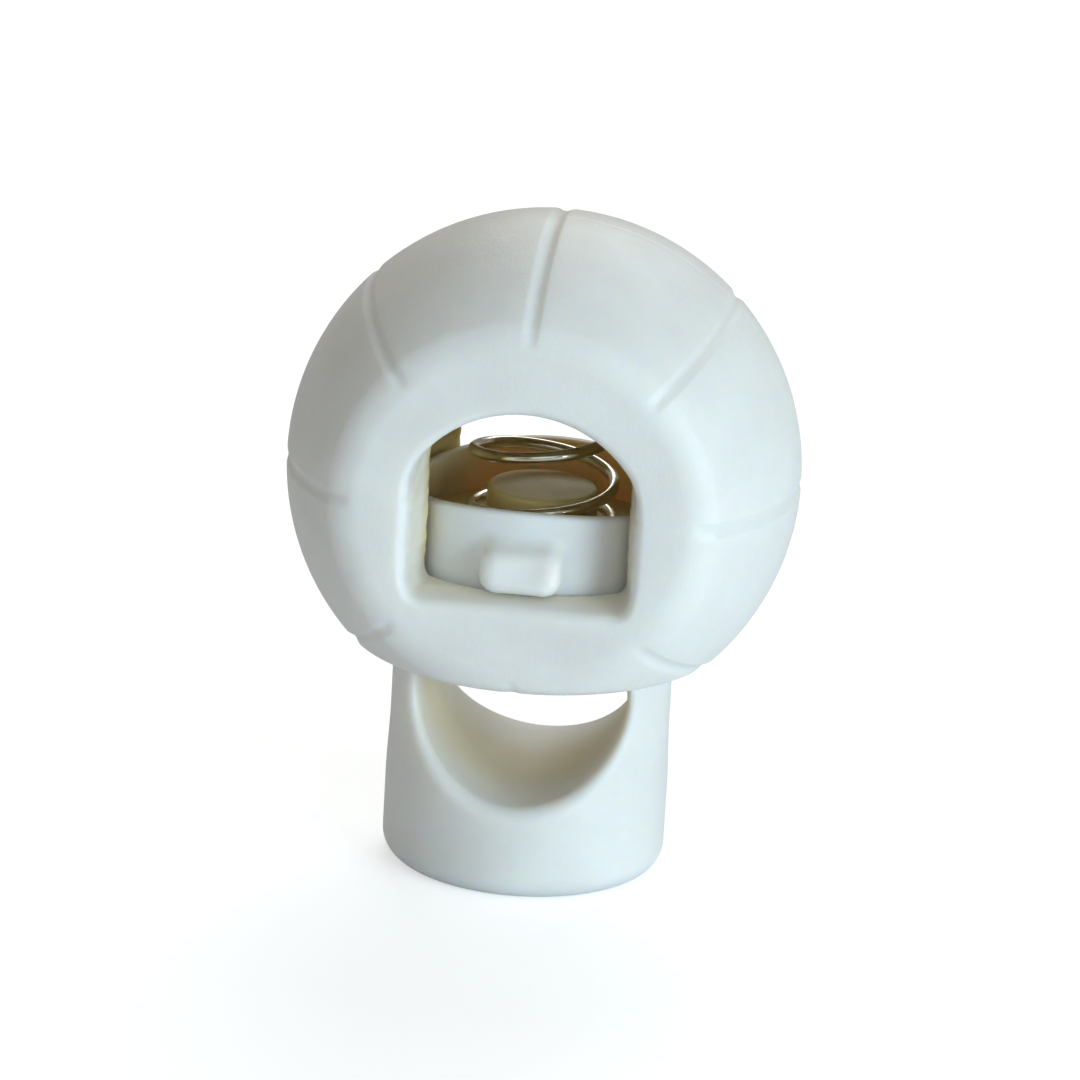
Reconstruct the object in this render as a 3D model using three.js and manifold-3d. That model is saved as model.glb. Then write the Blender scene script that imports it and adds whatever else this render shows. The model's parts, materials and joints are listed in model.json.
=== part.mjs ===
// A ball cord lock: a ball-shaped body, a round push plunger and the coil spring between them.
// Millimetres, +Z up. The origin is the centre of the plunger's end face, the cord runs along Y,
// and the plunger slides along Z.
import * as THREE from "three";
import { mergeVertices } from "three/addons/utils/BufferGeometryUtils.js";
import Module from "manifold-3d";

const wasm = await Module();
wasm.setup();

// ---- driving dimensions (heights marked "above the centre" count from the ball's centre) ----

const BALL_RADIUS = 9.0;
const BALL_CENTRE_Z = 14.5;
const CORD_FACE_Y = 6.4; // half the distance between the two flat cord faces
const CORD_FACE_EDGE = 1.0; // rounding between a cord face and the ball
const RIM_DEPTH = 6.5; // the flat round the plunger's hole, below the centre
const RIM_EDGE = 1.3;
const SEAM = { halfWidth: 0.12, depth: 0.1 }; // the mould's parting line round the ball

const GROOVES = { count: 8, width: 0.4, depth: 0.12, end: THREE.MathUtils.degToRad(45) };

// The draft is how much each side of the window closes in per millimetre of depth.
const WINDOW = { halfWidth: 3.9, floor: -3.1, shoulder: 1.05, crown: 3.55, corner: 0.3, edge: 0.45, draft: 0.17 };
const BORE = { radius: 5.15, top: 5.0 };
const POCKET = { radius: 3.0, top: 7.5 };

const PLUNGER = { radius: 5.0, neckRadius: 4.93, capHeight: 3.9, endEdge: 0.9, top: -0.33, topEdge: 0.15 };
const TOP_ARCH_RADIUS = 21; // the plunger's top is a shallow arch, highest over the cord
const CUP = { radius: 4.45, floor: -2.2 }; // the hollow in the plunger's top that the spring stands in
const POST = { radius: 1.95, top: -0.72, edge: 0.2 }; // centres the spring in the cup
const EYE = { radius: 3.65, height: 7.0 };
const LUG = { halfWidth: 1.4, gap: 0.05, height: 1.75, reach: 6.0, ramp: 0.6 };

const WIRE_RADIUS = 0.2;
const SPRING = {
  meanRadius: 2.5,
  startAngle: THREE.MathUtils.degToRad(-93),
  bottomTurns: 0.75, // close-wound wire that lies in the cup
  activeTurns: 4.1,
  topTurns: 1, // close-wound wire in the roof pocket
  endPitch: 0.44,
  seatGap: 0.03,
};

const ROUND_SEGMENTS = 56;
const FILLET_SEGMENTS = 3;
const SPHERE_SEGMENTS = 8; // from a cord face to the seam
const WIRE_SIDES = 8;
const STEPS_PER_TURN = 18;
const BEYOND = 4; // how far a cutter runs past the surface it cuts
const SKIM = 0.02; // a cutter whose end meets a face runs past it by this much

// ---- solids ----

// A closed three.js geometry as a solid that can be joined and cut.
function solidOf(geometry) {
  const bare = geometry.index ? geometry.toNonIndexed() : geometry.clone();
  bare.deleteAttribute("normal");
  bare.deleteAttribute("uv");
  const merged = mergeVertices(bare, 1e-4);
  return new wasm.Manifold(
    new wasm.Mesh({
      numProp: 3,
      vertProperties: merged.attributes.position.array,
      triVerts: new Uint32Array(merged.index.array),
    }),
  );
}

function geometryOf(solid) {
  const mesh = solid.getMesh();
  const geometry = new THREE.BufferGeometry();
  geometry.setAttribute("position", new THREE.BufferAttribute(mesh.vertProperties, 3));
  geometry.setIndex(new THREE.BufferAttribute(mesh.triVerts, 1));
  return geometry;
}

// Points of an arc in the lathe plane, both ends included, angles in radians from the +X axis.
function arcPoints(centreX, centreY, radius, from, to, segments) {
  return Array.from({ length: segments + 1 }, (_, i) => {
    const angle = from + ((to - from) * i) / segments;
    return new THREE.Vector2(centreX + radius * Math.cos(angle), centreY + radius * Math.sin(angle));
  });
}

// A solid of revolution about Z, from a profile of (radius, height) points.
function turnedSolid(profile) {
  return solidOf(new THREE.LatheGeometry(profile, ROUND_SEGMENTS).rotateX(Math.PI / 2));
}

function cylinderAlongZ(radius, bottom, top) {
  const geometry = new THREE.CylinderGeometry(radius, radius, top - bottom, ROUND_SEGMENTS);
  return solidOf(geometry.rotateX(Math.PI / 2).translate(0, 0, (top + bottom) / 2));
}

// ---- ball body, built about the ball's centre and then lifted ----

// The rounding between the ball and a flat cut at the given depth: the fillet's centre in the lathe
// plane, and the angle at which it runs into the ball.
function flatFillet(depth, edge) {
  const height = -(depth - edge);
  const radius = Math.sqrt((BALL_RADIUS - edge) ** 2 - height ** 2);
  return { radius, height, meets: Math.atan2(height, radius) };
}

// The ball with its two cord faces, turned about the cord's axis (Y).
function ballBlank() {
  const fillet = flatFillet(CORD_FACE_Y, CORD_FACE_EDGE);
  const seamAngle = SEAM.halfWidth / BALL_RADIUS;
  const half = [
    new THREE.Vector2(0, -CORD_FACE_Y),
    ...arcPoints(fillet.radius, fillet.height, CORD_FACE_EDGE, -Math.PI / 2, fillet.meets, FILLET_SEGMENTS),
    ...arcPoints(0, 0, BALL_RADIUS, fillet.meets, -seamAngle, SPHERE_SEGMENTS).slice(1),
  ];
  const otherHalf = half.map((point) => new THREE.Vector2(point.x, -point.y)).reverse();
  const profile = [...half, new THREE.Vector2(BALL_RADIUS - SEAM.depth, 0), ...otherHalf];
  return solidOf(new THREE.LatheGeometry(profile, ROUND_SEGMENTS));
}

// Everything below the flat round the plunger's hole, with that flat's rounded rim.
function rimCutter() {
  const fillet = flatFillet(RIM_DEPTH, RIM_EDGE);
  const outside = BALL_RADIUS + BEYOND;
  const rim = arcPoints(fillet.radius, fillet.height, RIM_EDGE, -Math.PI / 2, fillet.meets, FILLET_SEGMENTS);
  const profile = [
    new THREE.Vector2(0, -outside),
    new THREE.Vector2(outside, -outside),
    new THREE.Vector2(outside * Math.cos(fillet.meets), outside * Math.sin(fillet.meets)),
    ...rim.reverse(),
    new THREE.Vector2(0, -RIM_DEPTH),
  ];
  return turnedSolid(profile);
}

// One thin slab that leaves a groove over the ball, from one cord face to the other.
function grooveCutter(angle) {
  const shape = new THREE.Shape();
  shape.absarc(0, 0, BALL_RADIUS + BEYOND, -GROOVES.end, GROOVES.end, false);
  shape.absarc(0, 0, BALL_RADIUS - GROOVES.depth, GROOVES.end, -GROOVES.end, true);
  const slab = new THREE.ExtrudeGeometry(shape, {
    depth: GROOVES.width,
    bevelEnabled: false,
    curveSegments: SPHERE_SEGMENTS * 2,
  });
  return solidOf(slab.translate(0, 0, -GROOVES.width / 2).rotateY(angle));
}

// The arched outline of the cord window at its wide outer edge: x is across, y is up.
function windowOutline() {
  const half = WINDOW.halfWidth + WINDOW.edge;
  const floor = WINDOW.floor - WINDOW.edge;
  const rise = WINDOW.crown - WINDOW.shoulder;
  const archRadius = (WINDOW.halfWidth ** 2 + rise ** 2) / (2 * rise) + WINDOW.edge;
  const archCentre = WINDOW.crown + WINDOW.edge - archRadius;
  const archEnd = Math.acos(half / archRadius);
  const corner = WINDOW.corner + WINDOW.edge;
  const outline = new THREE.Shape();
  outline.moveTo(-half + corner, floor);
  outline.absarc(half - corner, floor + corner, corner, -Math.PI / 2, 0, false);
  outline.absarc(0, archCentre, archRadius, archEnd, Math.PI - archEnd, false);
  outline.absarc(-half + corner, floor + corner, corner, Math.PI, Math.PI * 1.5, false);
  return outline;
}

// The window through both walls. Its ends flare, so both outer edges come out rounded.
function windowCutter() {
  const reach = CORD_FACE_Y + SKIM;
  const straight = 2 * (reach - WINDOW.edge);
  const geometry = new THREE.ExtrudeGeometry(windowOutline(), {
    depth: straight,
    steps: 2,
    bevelEnabled: true,
    bevelThickness: WINDOW.edge,
    bevelSize: -WINDOW.edge,
    bevelSegments: FILLET_SEGMENTS,
    curveSegments: 7,
  });
  geometry.translate(0, 0, -straight / 2).rotateX(Math.PI / 2);
  const position = geometry.getAttribute("position");
  for (let i = 0; i < position.count; i++) {
    const depth = CORD_FACE_Y - Math.abs(position.getY(i));
    const narrowing = 1 - (WINDOW.draft * depth) / WINDOW.halfWidth;
    position.setX(i, position.getX(i) * narrowing);
  }
  return solidOf(geometry);
}

function ballBody() {
  let body = ballBlank().subtract(rimCutter());
  for (let i = 0; i < GROOVES.count; i++) {
    body = body.subtract(grooveCutter((i * 2 * Math.PI) / GROOVES.count));
  }
  body = body.subtract(cylinderAlongZ(BORE.radius, -BALL_RADIUS - BEYOND, BORE.top));
  body = body.subtract(cylinderAlongZ(POCKET.radius, 0, POCKET.top));
  body = body.subtract(windowCutter());
  return body.translate([0, 0, BALL_CENTRE_Z]);
}

// ---- plunger ----

// The round button: end cap, slightly slimmer neck and flat top.
function plungerBlank() {
  const top = BALL_CENTRE_Z + PLUNGER.top;
  const endArcX = PLUNGER.radius - PLUNGER.endEdge;
  const profile = [
    new THREE.Vector2(0, 0),
    ...arcPoints(endArcX, PLUNGER.endEdge, PLUNGER.endEdge, -Math.PI / 2, 0, FILLET_SEGMENTS),
    new THREE.Vector2(PLUNGER.radius, PLUNGER.capHeight),
    new THREE.Vector2(PLUNGER.neckRadius, PLUNGER.capHeight + PLUNGER.radius - PLUNGER.neckRadius),
    new THREE.Vector2(PLUNGER.neckRadius, top - PLUNGER.topEdge),
    new THREE.Vector2(PLUNGER.neckRadius - PLUNGER.topEdge, top),
    new THREE.Vector2(0, top),
  ];
  return turnedSolid(profile);
}

// Everything below the plunger's arched top.
function topArch() {
  const length = 2 * (PLUNGER.radius + BEYOND);
  const geometry = new THREE.CylinderGeometry(TOP_ARCH_RADIUS, TOP_ARCH_RADIUS, length, 2 * ROUND_SEGMENTS);
  return solidOf(geometry.translate(0, 0, BALL_CENTRE_Z + PLUNGER.top - TOP_ARCH_RADIUS));
}

// The hollow that the spring stands in, round its centre post.
function cupCutter() {
  const floor = BALL_CENTRE_Z + CUP.floor;
  const postTop = BALL_CENTRE_Z + POST.top;
  const beyond = postTop + BEYOND;
  const profile = [
    new THREE.Vector2(0, postTop),
    new THREE.Vector2(POST.radius - POST.edge, postTop),
    new THREE.Vector2(POST.radius, postTop - POST.edge),
    new THREE.Vector2(POST.radius, floor),
    new THREE.Vector2(CUP.radius, floor),
    new THREE.Vector2(CUP.radius, beyond),
    new THREE.Vector2(0, beyond),
  ];
  return turnedSolid(profile);
}

function eyeCutter() {
  const length = 2 * (PLUNGER.radius + BEYOND);
  const geometry = new THREE.CylinderGeometry(EYE.radius, EYE.radius, length, ROUND_SEGMENTS);
  return solidOf(geometry.translate(0, 0, EYE.height));
}

// Both stop lugs as one bar through the plunger. Each has a flat catch below and a ramp above.
function lugBar() {
  const bottom = BALL_CENTRE_Z + WINDOW.floor + LUG.gap;
  const top = bottom + LUG.height;
  const outline = new THREE.Shape();
  outline.moveTo(-LUG.reach, bottom);
  outline.lineTo(LUG.reach, bottom);
  outline.lineTo(LUG.reach, top - LUG.ramp);
  outline.lineTo(LUG.reach - LUG.ramp, top);
  outline.lineTo(-LUG.reach + LUG.ramp, top);
  outline.lineTo(-LUG.reach, top - LUG.ramp);
  const geometry = new THREE.ExtrudeGeometry(outline, { depth: 2 * LUG.halfWidth, bevelEnabled: false });
  return solidOf(geometry.translate(0, 0, -LUG.halfWidth).rotateX(Math.PI / 2).rotateZ(Math.PI / 2));
}

function plunger() {
  const outside = plungerBlank().intersect(topArch()).add(lugBar());
  return outside.subtract(cupCutter()).subtract(eyeCutter());
}

// ---- spring ----

const SPRING_TURNS = SPRING.bottomTurns + SPRING.activeTurns + SPRING.topTurns;

// The wire's centre line: close-wound at both ends and open between, right-handed.
class CoilPath extends THREE.Curve {
  constructor(bottom, top) {
    super();
    this.bottom = bottom;
    this.top = top;
  }

  getPoint(t, target = new THREE.Vector3()) {
    const turn = t * SPRING_TURNS;
    const endsRise = (SPRING.bottomTurns + SPRING.topTurns) * SPRING.endPitch;
    const openPitch = (this.top - this.bottom - endsRise) / SPRING.activeTurns;
    const openTurn = THREE.MathUtils.clamp(turn - SPRING.bottomTurns, 0, SPRING.activeTurns);
    const height = this.bottom + (turn - openTurn) * SPRING.endPitch + openTurn * openPitch;
    const angle = SPRING.startAngle + turn * 2 * Math.PI;
    return target.set(SPRING.meanRadius * Math.cos(angle), SPRING.meanRadius * Math.sin(angle), height);
  }
}

function springGeometry() {
  const seat = WIRE_RADIUS + SPRING.seatGap;
  const path = new CoilPath(BALL_CENTRE_Z + CUP.floor + seat, BALL_CENTRE_Z + POCKET.top - seat);
  const section = new THREE.Shape().absarc(0, 0, WIRE_RADIUS, 0, 2 * Math.PI, false);
  return new THREE.ExtrudeGeometry(section, {
    steps: Math.round(SPRING_TURNS * STEPS_PER_TURN),
    curveSegments: WIRE_SIDES,
    extrudePath: path,
  });
}

// ---- scene graph ----

const plastic = { color: 0xeef1f1, roughness: 0.45, metalness: 0 };
const bodyMaterial = new THREE.MeshStandardMaterial(plastic);
const plungerMaterial = new THREE.MeshStandardMaterial({ ...plastic, roughness: 0.5 });
const springMaterial = new THREE.MeshStandardMaterial({ color: 0xc3c6c8, roughness: 0.3, metalness: 1 });

function piece(name, geometry, material) {
  const mesh = new THREE.Mesh(geometry, material);
  mesh.name = name;
  return mesh;
}

const cordLock = new THREE.Group();
cordLock.add(piece("ball_body", geometryOf(ballBody()), bodyMaterial));
cordLock.add(piece("plunger", geometryOf(plunger()), plungerMaterial));
cordLock.add(piece("spring", springGeometry(), springMaterial));

export default cordLock;
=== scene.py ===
"""Looks of the ball cord lock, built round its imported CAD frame.

The three CAD nodes are replaced by finer meshes of the same overall sizes. The body and the
plunger are described as signed distance fields in millimetres, meshed with OpenVDB and set exactly
on their surfaces. The spring is a wire swept along its coil.
"""
import json
import math

import bpy
import numpy as np
import openvdb
from mathutils import Matrix, Vector


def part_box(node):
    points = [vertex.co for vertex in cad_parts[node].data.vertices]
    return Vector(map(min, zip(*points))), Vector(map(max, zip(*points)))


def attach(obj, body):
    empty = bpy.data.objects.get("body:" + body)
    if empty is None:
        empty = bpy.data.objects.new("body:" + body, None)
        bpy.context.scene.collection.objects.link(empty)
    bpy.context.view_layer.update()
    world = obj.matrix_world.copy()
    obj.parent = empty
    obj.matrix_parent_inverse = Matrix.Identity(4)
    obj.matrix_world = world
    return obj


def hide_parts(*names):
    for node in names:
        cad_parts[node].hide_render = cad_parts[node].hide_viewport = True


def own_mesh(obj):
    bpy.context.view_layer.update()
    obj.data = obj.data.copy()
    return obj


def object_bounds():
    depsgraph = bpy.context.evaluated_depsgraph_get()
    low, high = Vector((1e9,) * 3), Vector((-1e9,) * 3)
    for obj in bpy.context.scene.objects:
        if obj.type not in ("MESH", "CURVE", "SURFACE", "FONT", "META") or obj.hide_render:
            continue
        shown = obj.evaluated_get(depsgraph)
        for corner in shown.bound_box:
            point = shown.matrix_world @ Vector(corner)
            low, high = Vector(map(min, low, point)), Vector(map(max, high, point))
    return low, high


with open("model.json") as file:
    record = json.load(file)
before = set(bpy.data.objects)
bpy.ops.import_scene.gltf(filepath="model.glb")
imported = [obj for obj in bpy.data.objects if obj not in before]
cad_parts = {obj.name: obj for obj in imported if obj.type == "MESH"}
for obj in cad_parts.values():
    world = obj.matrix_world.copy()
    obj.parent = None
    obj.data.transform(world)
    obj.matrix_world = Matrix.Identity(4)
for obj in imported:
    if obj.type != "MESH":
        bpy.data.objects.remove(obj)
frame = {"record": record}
cad_low, cad_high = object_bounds()

MM = 0.001  # one millimetre in metres

# ---- sizes in millimetres, from the frame where the frame has them ----


def box_mm(node):
    low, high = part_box(node)
    return np.array(low) / MM, np.array(high) / MM


body_low, body_high = box_mm("ball_body")
plunger_low, plunger_high = box_mm("plunger")
spring_low, spring_high = box_mm("spring")
mounts = {mount["name"]: mount for mount in frame["record"]["mounts"]}

CENTRE_Z = mounts["front_cord_face"]["pos_m"][2] / MM
BALL_RADIUS = round(body_high[0] - body_low[0], 1) / 2
CORD_FACE_Y = body_high[1]
RIM_DEPTH = CENTRE_Z - body_low[2]
FACE_BLEND = 0.5
RIM_BLEND = 0.4

GROOVE_COUNT = 8
GROOVE_HALF_WIDTH = 0.34
GROOVE_DEPTH = 0.10
GROOVE_END = math.radians(46.5)
GROOVE_FADE = math.radians(2.5)  # the groove runs out over about this much
SEAM_HALF_WIDTH = 0.14
SEAM_DEPTH = 0.02

WINDOW_HALF_WIDTH = 3.98
WINDOW_FLOOR = -3.1
WINDOW_CROWN = 3.55
WINDOW_SHOULDER = 1.05
WINDOW_CORNER = 0.3
WINDOW_EDGE = 0.35
WINDOW_DRAFT = 0.19  # the sides and the sill close in by this much per millimetre of depth
SILL_DEPTH = 1.25  # the sill reaches its full height at this depth
WINDOW_UNEVENNESS = 0.03
WINDOW_RIPPLE = 0.35
BORE_RADIUS = 5.15
BORE_TOP = 5.0
POCKET_RADIUS = 3.0
POCKET_TOP = 7.5
INNER_EDGE = 0.15

CAP_RADIUS = plunger_high[0]
NECK_RELIEF = 0.07  # how much slimmer the neck is than the cap, on the radius
CAP_HEIGHT = 3.0
CAP_STEP = 2.5
END_EDGE = 0.9
PLUNGER_TOP = plunger_high[2]
TOP_ARCH_RADIUS = 21
TOP_EDGE = 0.16
CUP_RADIUS = 4.45
CUP_FLOOR = -2.2
POST_RADIUS = 1.95
POST_TOP = -0.72
EYE_RADIUS = 3.65
EYE_HEIGHT = 7.0
EYE_EDGE = 0.6
LUG_HALF_WIDTH = 1.4
LUG_REACH = plunger_high[1]
LUG_GAP = 0.05
LUG_BOTTOM = CENTRE_Z + WINDOW_FLOOR + LUG_GAP
LUG_HEIGHT = 1.75
LUG_RAMP = 0.6
LUG_EDGE = 0.6
LUG_ROOT = 0.35  # fillet between a lug and the button
LUG_START = CUP_RADIUS + 0.1
LUG_UNEVENNESS = 0.07
LUG_RIPPLE = 0.9

WIRE_RADIUS = 0.21
CAD_WIRE_RADIUS = 0.2
COIL_RADIUS = (spring_high[0] - spring_low[0]) / 2 - CAD_WIRE_RADIUS
COIL_START = math.radians(-93)
COIL_BOTTOM_TURNS = 0.75
COIL_ACTIVE_TURNS = 4.1
COIL_TOP_TURNS = 1
COIL_END_PITCH = 0.44

VOXEL = 0.09
BAND = 3 * VOXEL  # distances are clipped to this before meshing
SLOPE_REACH = 0.02
SETTLE_PASSES = 3
BODY_FACES = 150000  # most triangles of the ball body
PLUNGER_FACES = 100000

# ---- signed distance helpers ----


def round_join(a, b, radius):
    """The part inside both a and b, with the edge between them rounded off."""
    u = np.maximum(a + radius, 0)
    v = np.maximum(b + radius, 0)
    return np.minimum(-radius, np.maximum(a, b)) + np.hypot(u, v)


def round_cut(a, tool, radius):
    """The part inside a and outside the tool, with the edge rounded off."""
    return round_join(a, -tool, radius)


def round_add(a, b, radius):
    """The part inside a or b, with the inner corner between them filled."""
    u = np.maximum(radius - a, 0)
    v = np.maximum(radius - b, 0)
    return np.maximum(radius, np.minimum(a, b)) - np.hypot(u, v)


def smooth_step(value, low, high):
    t = np.clip((value - low) / (high - low), 0, 1)
    return t * t * (3 - 2 * t)


def valley(distance, half_width):
    """1 on the line, falling smoothly to 0 at half_width from it."""
    return np.maximum(1 - (distance / half_width) ** 2, 0) ** 2


def ripple(x, y, z, scale):
    """A smooth fixed unevenness between about -1 and 1, for hand-trimmed and moulded surfaces."""
    return (
        np.sin(x * 1.7 / scale + 1.3 * np.sin(z * 1.1 / scale))
        * np.sin(z * 1.3 / scale + 0.9 * np.sin(y * 1.9 / scale) + 2.0)
    )


# ---- ball body ----


def ball_shell(x, y, z):
    """The ball with its grooves, cord faces and rim. Heights count from the ball's centre."""
    across = np.hypot(x, z)
    step = 2 * math.pi / GROOVE_COUNT
    turn = np.arctan2(x, z) / step
    from_groove = across * np.sin(np.abs(turn - np.round(turn)) * step)
    latitude = np.arctan2(np.abs(y), across)
    run = 1 - smooth_step(latitude, GROOVE_END - GROOVE_FADE, GROOVE_END + GROOVE_FADE / 2)
    groove = GROOVE_DEPTH * valley(from_groove, GROOVE_HALF_WIDTH) * run
    seam = SEAM_DEPTH * valley(y, SEAM_HALF_WIDTH)
    ball = np.hypot(across, y) - BALL_RADIUS
    shell = round_join(ball, np.abs(y) - CORD_FACE_Y, FACE_BLEND) + np.maximum(groove, seam)
    return round_join(shell, -z - RIM_DEPTH, RIM_BLEND)


def cord_window(x, y, z):
    """The arched window through both walls, a little narrower inside."""
    depth = CORD_FACE_Y - np.abs(y)
    uneven = WINDOW_UNEVENNESS * ripple(z, y, z, WINDOW_RIPPLE)
    half_width = WINDOW_HALF_WIDTH - WINDOW_DRAFT * depth + uneven
    rise = WINDOW_CROWN - WINDOW_SHOULDER
    arch_radius = (WINDOW_HALF_WIDTH**2 + rise**2) / (2 * rise)
    arch = np.hypot(x, z - WINDOW_CROWN + arch_radius) - arch_radius
    sill = WINDOW_FLOOR - WINDOW_DRAFT * np.maximum(SILL_DEPTH - depth, 0)
    box = round_join(np.abs(x) - half_width, sill - z, WINDOW_CORNER)
    return round_join(box, arch, WINDOW_CORNER)


def ball_body(x, y, z):
    """The whole ball moulding: shell, windows, bore and spring pocket."""
    z = z - CENTRE_Z
    body = round_cut(ball_shell(x, y, z), cord_window(x, y, z), WINDOW_EDGE)
    from_axis = np.hypot(x, y)
    bore = np.maximum(from_axis - BORE_RADIUS, z - BORE_TOP)
    pocket = np.maximum(from_axis - POCKET_RADIUS, z - POCKET_TOP)
    return round_cut(round_cut(body, bore, INNER_EDGE), pocket, INNER_EDGE)


# ---- plunger ----


def stop_lugs(x, y, z):
    """The two snap lugs: a flat catch below, a ramp above, worn round and slightly lumpy."""
    top = LUG_BOTTOM + LUG_HEIGHT
    out = np.abs(y) + LUG_UNEVENNESS * ripple(x, y, z, LUG_RIPPLE)
    ramp = (out + z - LUG_REACH - top + LUG_RAMP) / math.sqrt(2)
    sides = round_join(np.abs(x) - LUG_HALF_WIDTH, out - LUG_REACH, LUG_EDGE)
    height = round_join(np.maximum(LUG_BOTTOM - z, ramp), z - top, LUG_EDGE)
    return round_join(sides, height, LUG_EDGE)


def plunger(x, y, z):
    """The whole plunger moulding: button, lugs, cup with its post, and cord eye."""
    from_axis = np.hypot(x, y)
    neck = smooth_step(z, CAP_HEIGHT, CAP_HEIGHT + CAP_STEP)
    side = from_axis - CAP_RADIUS + NECK_RELIEF * neck
    top = np.hypot(x, z - PLUNGER_TOP + TOP_ARCH_RADIUS) - TOP_ARCH_RADIUS
    button = round_join(round_join(side, -z, END_EDGE), top, TOP_EDGE)
    lugs = np.maximum(stop_lugs(x, y, z), LUG_START - np.abs(y))
    button = round_add(button, lugs, LUG_ROOT)
    post = round_join(from_axis - POST_RADIUS, z - CENTRE_Z - POST_TOP, TOP_EDGE)
    cup = np.maximum(from_axis - CUP_RADIUS, CENTRE_Z + CUP_FLOOR - z)
    button = round_cut(button, round_cut(cup, post, TOP_EDGE), TOP_EDGE)
    return round_cut(button, np.hypot(x, z - EYE_HEIGHT) - EYE_RADIUS, EYE_EDGE)


# ---- meshing ----


def slopes(field, points):
    """The gradient of the field at each point."""
    result = np.empty_like(points)
    for axis in range(3):
        offset = np.zeros(3)
        offset[axis] = SLOPE_REACH
        result[:, axis] = field(*(points + offset).T) - field(*(points - offset).T)
    return result / (2 * SLOPE_REACH)


def settle(field, points):
    """Moves the points onto the surface of the field."""
    for _ in range(SETTLE_PASSES):
        slope = slopes(field, points)
        steep = np.maximum((slope**2).sum(axis=1), 0.25)
        move = np.clip(field(*points.T) / steep, -VOXEL, VOXEL)
        points = points - slope * move[:, None]
    return points


def new_object(name, vertices_mm, faces):
    """A smooth-shaded mesh object in the scene."""
    mesh = bpy.data.meshes.new(name)
    mesh.from_pydata((vertices_mm * MM).tolist(), [], faces)
    mesh.update()
    mesh.polygons.foreach_set("use_smooth", np.ones(len(mesh.polygons), dtype=bool))
    obj = bpy.data.objects.new(name, mesh)
    bpy.context.scene.collection.objects.link(obj)
    return obj


def thinned(obj, share):
    """Replaces the object's mesh by one with that share of its faces."""
    modifier = obj.modifiers.new("thin", "DECIMATE")
    modifier.ratio = share
    depsgraph = bpy.context.evaluated_depsgraph_get()
    mesh = bpy.data.meshes.new_from_object(obj.evaluated_get(depsgraph))
    obj.modifiers.remove(modifier)
    obj.data = mesh


def field_object(name, field, low, high, most_faces):
    """The surface of a field inside a box, as a smooth mesh object."""
    margin = 4 * VOXEL
    axes = [np.arange(low[i] - margin, high[i] + margin, VOXEL) for i in range(3)]
    origin = np.array([axis[0] for axis in axes])
    x, y, z = np.meshgrid(*axes, indexing="ij", sparse=True)
    values = np.clip(field(x, y, z), -BAND, BAND).astype(np.float32)
    grid = openvdb.FloatGrid(BAND)
    grid.copyFromArray(values)
    points, quads = grid.convertToQuads(isovalue=0.0)
    vertices = points.astype(float) * VOXEL + origin
    obj = new_object(name, vertices, quads.tolist())
    triangles = 2 * len(quads)
    if triangles > most_faces:
        thinned(obj, most_faces / triangles)
    mesh = obj.data
    flat = np.empty(len(mesh.vertices) * 3)
    mesh.vertices.foreach_get("co", flat)
    settled = settle(field, flat.reshape(-1, 3) / MM)
    mesh.vertices.foreach_set("co", (settled * MM).ravel())
    mesh.update()
    normals = slopes(field, settled)
    normals /= np.linalg.norm(normals, axis=1, keepdims=True)
    mesh.polygons.foreach_set("use_smooth", np.ones(len(mesh.polygons), dtype=bool))
    mesh.normals_split_custom_set_from_vertices(normals.tolist())
    return obj


# ---- spring ----


def coil_line():
    """The wire's centre line, close-wound at both ends and open between, right-handed."""
    bottom = spring_low[2] + WIRE_RADIUS
    top = spring_high[2] - WIRE_RADIUS
    turns = COIL_BOTTOM_TURNS + COIL_ACTIVE_TURNS + COIL_TOP_TURNS
    turn = np.linspace(0, turns, round(turns * 80))
    ends_rise = (COIL_BOTTOM_TURNS + COIL_TOP_TURNS) * COIL_END_PITCH
    pitch = (top - bottom - ends_rise) / COIL_ACTIVE_TURNS
    open_turn = np.clip(turn - COIL_BOTTOM_TURNS, 0, COIL_ACTIVE_TURNS)
    height = bottom + (turn - open_turn) * COIL_END_PITCH + open_turn * pitch
    angle = COIL_START + turn * 2 * math.pi
    return np.column_stack([COIL_RADIUS * np.cos(angle), COIL_RADIUS * np.sin(angle), height])


def wire_object(name, line, radius, sides=20):
    """A round wire along a line, with slightly domed cut ends."""
    along = np.gradient(line, axis=0)
    along /= np.linalg.norm(along, axis=1, keepdims=True)
    inward = -line * [1, 1, 0]
    inward /= np.linalg.norm(inward, axis=1, keepdims=True)
    inward -= along * (inward * along).sum(axis=1, keepdims=True)
    inward /= np.linalg.norm(inward, axis=1, keepdims=True)
    beside = np.cross(along, inward)
    # Each ring is (point on the line, radius share, push along the line).
    dome = [(0.0, 0.25), (0.75, 0.18), (0.95, 0.08)]
    rings = [(0, share, -push) for share, push in dome]
    rings += [(i, 1.0, 0.0) for i in range(len(line))]
    rings += [(len(line) - 1, share, push) for share, push in reversed(dome)]
    angles = np.arange(sides) * 2 * math.pi / sides
    vertices = []
    for i, share, push in rings:
        centre = line[i] + along[i] * push * radius
        circle = np.outer(np.cos(angles), inward[i]) + np.outer(np.sin(angles), beside[i])
        vertices.append(centre + circle * radius * max(share, 0.02))
    faces = []
    for ring in range(len(rings) - 1):
        for side in range(sides):
            after = (side + 1) % sides
            a, b = ring * sides + side, ring * sides + after
            faces.append((a, b, b + sides, a + sides))
    last = (len(rings) - 1) * sides
    faces.append(tuple(range(sides))[::-1])
    faces.append(tuple(range(last, last + sides)))
    return new_object(name, np.concatenate(vertices), faces)


# ---- materials ----


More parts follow.
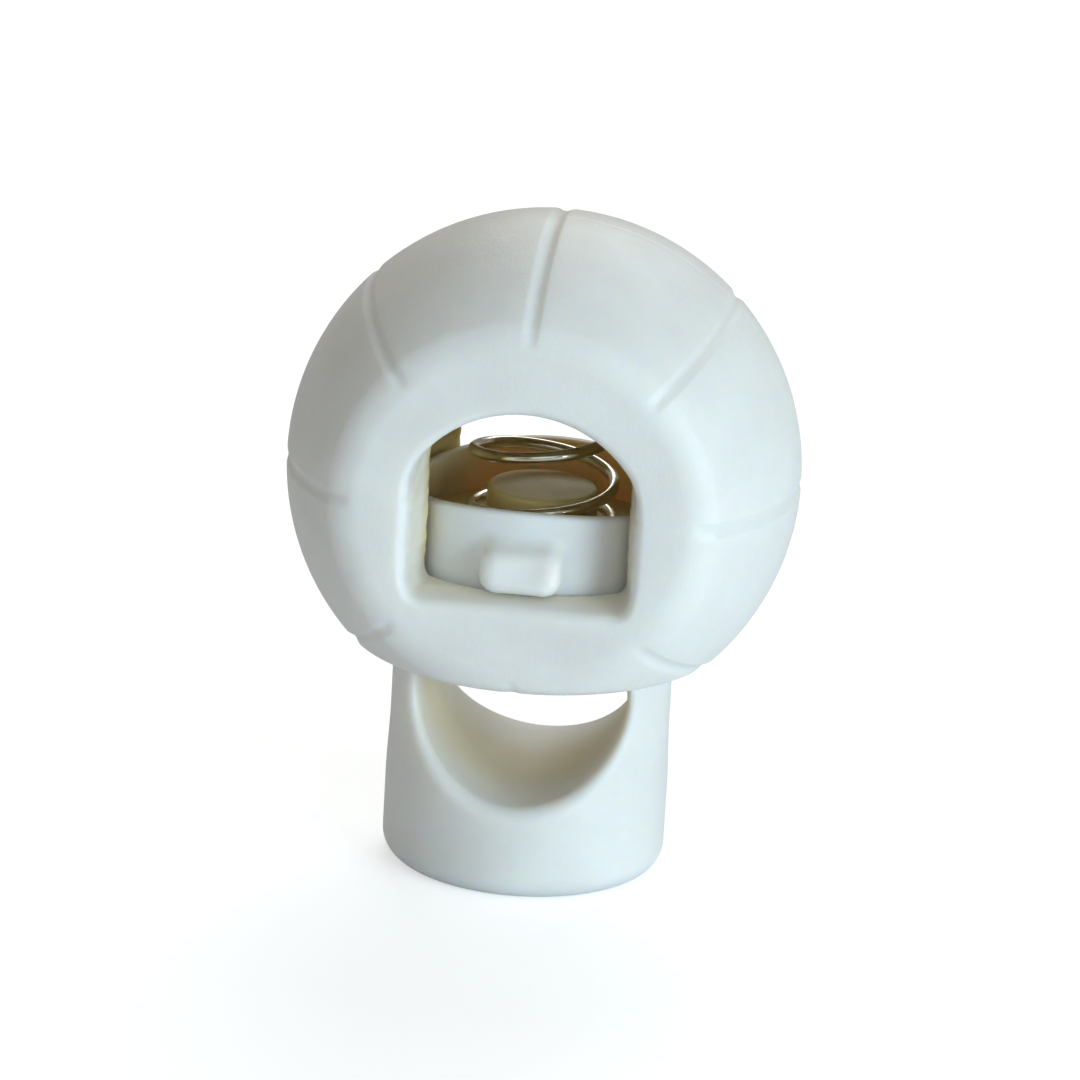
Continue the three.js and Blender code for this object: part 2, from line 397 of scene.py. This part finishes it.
class Shader:
    """A node material under construction."""

    def __init__(self, name):
        self.material = bpy.data.materials.new(name)
        self.material.use_nodes = True
        self.tree = self.material.node_tree
        self.surface = self.tree.nodes["Principled BSDF"]
        self.position = self.add("ShaderNodeVectorMath", operation="SCALE")
        self.position.inputs["Scale"].default_value = 1 / MM
        self.link(self.add("ShaderNodeTexCoord").outputs["Object"], self.position.inputs[0])

    def add(self, kind, **settings):
        node = self.tree.nodes.new(kind)
        for key, value in settings.items():
            setattr(node, key, value)
        return node

    def link(self, output, target):
        self.tree.links.new(output, target)

    def set(self, **values):
        for key, value in values.items():
            self.surface.inputs[key.replace("_", " ")].default_value = value

    def noise(self, scale, detail=2.0, roughness=0.5, stretch=None):
        """Noise with features of about 1/scale millimetres."""
        node = self.add("ShaderNodeTexNoise")
        node.inputs["Scale"].default_value = scale
        node.inputs["Detail"].default_value = detail
        node.inputs["Roughness"].default_value = roughness
        source = self.position.outputs["Vector"]
        if stretch:
            mapping = self.add("ShaderNodeVectorMath", operation="MULTIPLY")
            mapping.inputs[1].default_value = stretch
            self.link(source, mapping.inputs[0])
            source = mapping.outputs["Vector"]
        self.link(source, node.inputs["Vector"])
        return node.outputs["Fac"]

    def span(self, value, low, high, to_low, to_high):
        """Maps a value from one range to another, clamped."""
        node = self.add("ShaderNodeMapRange")
        ends = {"From Min": low, "From Max": high, "To Min": to_low, "To Max": to_high}
        for key, number in ends.items():
            node.inputs[key].default_value = number
        self.link(value, node.inputs["Value"])
        return node.outputs["Result"]

    def mix(self, factor, a, b):
        """Mixes two colours, each a node output or an (r, g, b) tuple."""
        node = self.add("ShaderNodeMix", data_type="RGBA")
        for socket, colour in ((node.inputs[6], a), (node.inputs[7], b)):
            if isinstance(colour, tuple):
                socket.default_value = (*colour, 1)
            else:
                self.link(colour, socket)
        self.link(factor, node.inputs[0])
        return node.outputs[2]

    def near(self, centre, axes, inner, outer):
        """1 within inner mm of the centre, 0 beyond outer; axes set to 0 don't count."""
        offset = self.add("ShaderNodeVectorMath", operation="SUBTRACT")
        offset.inputs[1].default_value = centre
        self.link(self.position.outputs["Vector"], offset.inputs[0])
        flat = self.add("ShaderNodeVectorMath", operation="MULTIPLY")
        flat.inputs[1].default_value = axes
        self.link(offset.outputs["Vector"], flat.inputs[0])
        length = self.add("ShaderNodeVectorMath", operation="LENGTH")
        self.link(flat.outputs["Vector"], length.inputs[0])
        return self.span(length.outputs["Value"], inner, outer, 1, 0)

    def times(self, a, b):
        node = self.add("ShaderNodeMath", operation="MULTIPLY")
        for value, socket in zip((a, b), node.inputs):
            if isinstance(value, float):
                socket.default_value = value
            else:
                self.link(value, socket)
        return node.outputs["Value"]

    def bump(self, heights, distance_mm):
        """Stacks bumps; heights is a list of (output, strength)."""
        normal = None
        for height, strength in heights:
            node = self.add("ShaderNodeBump")
            node.inputs["Strength"].default_value = strength
            node.inputs["Distance"].default_value = distance_mm * MM
            self.link(height, node.inputs["Height"])
            if normal:
                self.link(normal, node.inputs["Normal"])
            normal = node.outputs["Normal"]
        self.link(normal, self.surface.inputs["Normal"])


PAINTED_SHADE_TONE = (0.66, 0.50, 0.17)  # painted warm shade for the deep hollows, where the light is dim
SPECK_TONE = (0.30, 0.27, 0.28)


def white_plastic(name, grain, painted_shade_regions):
    """Moulded white acetal with faint clouding, fine grain and a few dark specks, with painted
    warm shade in its hollows.

    Each painted shade region is (share of the painted shade tone, list of near() arguments that
    bound it).
    """
    shader = Shader(name)
    clouds = shader.span(shader.noise(0.35, 3), 0.35, 0.65, 0, 1)
    colour = shader.mix(clouds, (0.80, 0.805, 0.80), (0.84, 0.85, 0.85))
    # Painted shade: mixes the warm shade tone into each deep region by its share.
    for share, bounds in painted_shade_regions:
        inside = share
        for bound in bounds:
            inside = shader.times(inside, shader.near(*bound))
        colour = shader.mix(inside, colour, PAINTED_SHADE_TONE)
    specks = shader.add("ShaderNodeTexVoronoi")
    specks.inputs["Scale"].default_value = 0.3
    shader.link(shader.position.outputs["Vector"], specks.inputs["Vector"])
    speck = shader.span(specks.outputs["Distance"], 0.015, 0.05, 0.5, 0)
    colour = shader.mix(speck, colour, SPECK_TONE)
    shader.link(colour, shader.surface.inputs["Base Color"])
    rough = shader.span(shader.noise(1.2, 3), 0.3, 0.7, 0.42, 0.54)
    shader.link(rough, shader.surface.inputs["Roughness"])
    shader.set(Subsurface_Weight=0.7, Subsurface_Scale=1.0 * MM, IOR=1.48)
    shader.surface.inputs["Subsurface Radius"].default_value = (1.0, 0.7, 0.4)
    fine = shader.noise(9, 3, 0.6)
    lines = shader.noise(3.5, 2, 0.5, stretch=grain)
    broad = shader.noise(0.5, 1)
    shader.bump([(broad, 0.25), (lines, 0.10), (fine, 0.12)], 0.1)
    return shader.material


def spring_steel(name):
    """Bright drawn wire, with olive patches of painted warm reflection."""
    shader = Shader(name)
    # Painted reflection: patches of duller olive stand in for the warm surroundings seen in the
    # wire.
    painted_reflection = shader.span(shader.noise(1.5, 3), 0.35, 0.7, 0, 1)
    colour = shader.mix(painted_reflection, (0.80, 0.78, 0.70), (0.62, 0.58, 0.46))
    shader.link(colour, shader.surface.inputs["Base Color"])
    rough = shader.span(shader.noise(4, 2), 0.3, 0.7, 0.12, 0.22)
    shader.link(rough, shader.surface.inputs["Roughness"])
    shader.set(Metallic=1.0)
    return shader.material


def floor_paper(name):
    """Plain pale floor with a barely visible grain."""
    shader = Shader(name)
    tone = shader.mix(shader.noise(0.05, 2), (0.83, 0.85, 0.885), (0.86, 0.88, 0.91))
    shader.link(tone, shader.surface.inputs["Base Color"])
    shader.set(Roughness=0.85)
    seen = shader.add("ShaderNodeLightPath").outputs["Is Camera Ray"]
    shader.link(shader.times(seen, 0.52), shader.surface.inputs["Emission Strength"])
    return shader.material


# ---- pieces ----


def dress(piece, body, node, material):
    """Gives a piece its material, ties it to its body and hides the CAD node it replaces."""
    piece.data.materials.clear()
    piece.data.materials.append(material)
    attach(piece, body)
    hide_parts(node)


# Painted shade for the ball: strong in the bore and spring pocket, light on the window walls.
BODY_PAINTED_SHADE = [
    (0.9, [((0, 0, 0), (1, 1, 0), BORE_RADIUS + 0.05, BORE_RADIUS + 0.7),
           ((0, 0, POCKET_TOP + CENTRE_Z), (0, 0, 1), POCKET_TOP + 2.2, POCKET_TOP + 3.4),
           ((0, 0, CENTRE_Z), (1, 1, 1), 8.2, 8.5)]),
    (0.25, [((0, 0, CENTRE_Z), (1, 0, 1), 5.0, 5.4),
           ((0, 0, 0), (0, 1, 0), CORD_FACE_Y - 1.0, CORD_FACE_Y - 0.2)]),
]
# Painted shade for the plunger: strong in the spring cup, lighter in the cord eye and fading
# towards its open ends.
PLUNGER_PAINTED_SHADE = [
    (0.9, [((0, 0, 0), (1, 1, 0), CUP_RADIUS - 0.05, CUP_RADIUS + 0.2),
           ((0, 0, CENTRE_Z), (0, 0, 1), -CUP_FLOOR + 0.1, -CUP_FLOOR + 0.4)]),
    (0.52, [((0, 0, EYE_HEIGHT), (1, 0, 1), EYE_RADIUS + 0.05, EYE_RADIUS + 0.3),
            ((0, 0, 0), (0, 1, 0), 1.0, 4.2)]),
]

body_piece = field_object("ball_body_visual", ball_body, body_low, body_high, BODY_FACES)
body_plastic = white_plastic("white_body", (1, 1, 0.15), BODY_PAINTED_SHADE)
dress(body_piece, "shell", "ball_body", body_plastic)

plunger_piece = field_object("plunger_visual", plunger, plunger_low, plunger_high, PLUNGER_FACES)
plunger_plastic = white_plastic("white_plunger", (1, 1, 0.08), PLUNGER_PAINTED_SHADE)
dress(plunger_piece, "plunger", "plunger", plunger_plastic)

spring_piece = wire_object("spring_visual", coil_line(), WIRE_RADIUS)
dress(spring_piece, "shell", "spring", spring_steel("spring_wire"))
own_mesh(spring_piece)

# ---- floor, light and camera ----

FLOOR_HALF = 600 * MM
COOL = (0.73, 0.91, 1.0)
WARM = (1.0, 0.94, 0.86)
NEUTRAL = (0.88, 0.95, 0.95)
ROOM_LIGHT = (0.25, 0.225, 0.185, 1)
BACKDROP = (0.745, 0.73, 0.70, 1)
CAMERA_AZIMUTH = 6.5
CAMERA_ELEVATION = 17.5
CAMERA_ROLL = 3.3  # the lock's top leans to the right
CAMERA_DISTANCE = 230 * MM
CAMERA_SENSOR = 36
FRAME_SHARE = 0.62  # how much of the picture's height the lock fills

middle = (cad_low + cad_high) / 2


def pale_floor():
    """A plain level floor that touches the lowest point of the object."""
    mesh = bpy.data.meshes.new("floor")
    corners = [(-1, -1, 0), (1, -1, 0), (1, 1, 0), (-1, 1, 0)]
    mesh.from_pydata([Vector(corner) * FLOOR_HALF for corner in corners], [], [(0, 1, 2, 3)])
    mesh.materials.append(floor_paper("pale_floor"))
    floor = bpy.data.objects.new("floor", mesh)
    floor.location.z = cad_low.z
    bpy.context.scene.collection.objects.link(floor)


def direction(azimuth, elevation):
    """Unit vector from the object towards that view; azimuth 0 is the front, 90 the +X side."""
    a = math.radians(azimuth)
    e = math.radians(elevation)
    return Vector((math.sin(a) * math.cos(e), -math.cos(a) * math.cos(e), math.sin(e)))


def softbox(name, azimuth, elevation, distance_mm, size_mm, watts, colour):
    """A soft rectangular light aimed at the middle of the object, itself unseen."""
    data = bpy.data.lights.new(name, "AREA")
    data.shape = "RECTANGLE"
    data.size = size_mm[0] * MM
    data.size_y = size_mm[1] * MM
    data.energy = watts
    data.color = colour
    light = bpy.data.objects.new(name, data)
    away = direction(azimuth, elevation)
    light.location = middle + away * distance_mm * MM
    light.visible_camera = False
    light.rotation_mode = "QUATERNION"
    light.rotation_quaternion = away.to_track_quat("Z", "Y")
    bpy.context.scene.collection.objects.link(light)


def room():
    """A dim warm room light, with a backdrop like the far floor where the camera sees past it."""
    world = bpy.data.worlds.new("studio")
    world.use_nodes = True
    nodes = world.node_tree.nodes
    tone = nodes.new("ShaderNodeMix")
    tone.data_type = "RGBA"
    tone.inputs[6].default_value = ROOM_LIGHT
    tone.inputs[7].default_value = BACKDROP
    seen = nodes.new("ShaderNodeLightPath").outputs["Is Camera Ray"]
    world.node_tree.links.new(seen, tone.inputs[0])
    world.node_tree.links.new(tone.outputs[2], nodes["Background"].inputs["Color"])
    return world


def view_camera():
    """The camera, looking at the front from slightly above and to the right."""
    data = bpy.data.cameras.new("camera")
    data.sensor_width = CAMERA_SENSOR
    data.lens = CAMERA_SENSOR * CAMERA_DISTANCE * FRAME_SHARE / (cad_high - cad_low).z
    data.clip_start = 10 * MM
    data.clip_end = 5
    camera = bpy.data.objects.new("camera", data)
    back = direction(CAMERA_AZIMUTH, CAMERA_ELEVATION)
    camera.location = middle + back * CAMERA_DISTANCE
    roll = Matrix.Rotation(math.radians(CAMERA_ROLL), 3, back)
    camera.rotation_mode = "QUATERNION"
    camera.rotation_quaternion = (roll @ back.to_track_quat("Z", "Y").to_matrix()).to_quaternion()
    bpy.context.scene.collection.objects.link(camera)
    return camera


pale_floor()
softbox("key", 50, 8, 220, (140, 60), 0.33, COOL)
softbox("front", 0, 30, 280, (180, 180), 0.09, COOL)
softbox("top", 20, 80, 260, (220, 220), 0.05, COOL)
softbox("back", 178, 58, 260, (90, 90), 0.06, WARM)
softbox("rear", 178, 36, 280, (180, 120), 0.23, NEUTRAL)

bpy.context.scene.world = room()
bpy.context.scene.camera = view_camera()
bpy.context.scene.view_settings.view_transform = "Standard"
